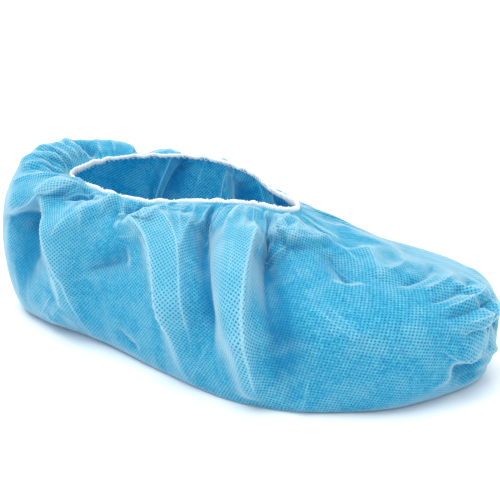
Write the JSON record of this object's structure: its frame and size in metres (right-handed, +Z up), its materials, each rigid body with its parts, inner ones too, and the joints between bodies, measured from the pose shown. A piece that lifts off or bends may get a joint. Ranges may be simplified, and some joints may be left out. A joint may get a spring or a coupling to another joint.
{
  "type": "disposable shoe cover",
  "caption": "Slip-on overshoe of embossed blue nonwoven cloth, gathered by a white elastic round its foot opening, holding the full form of a shoe.",
  "frame": {"origin": "middle of the outline in plan, on the surface that the sole lies on", "axes": "+X towards the toe, +Y towards the far side with the plainer pleats, +Z up out of the foot opening"},
  "size_m": [0.3188, 0.1486, 0.1074],
  "materials": {
    "nonwoven_cloth": "soft matt nonwoven cloth with small embossed dots",
    "white_elastic": "matt white elastic with an overlock stitch"
  },
  "bodies": {
    "root": {"cover": "nonwoven_cloth", "elastic_band": "white_elastic"}
  },
  "joints": []
}
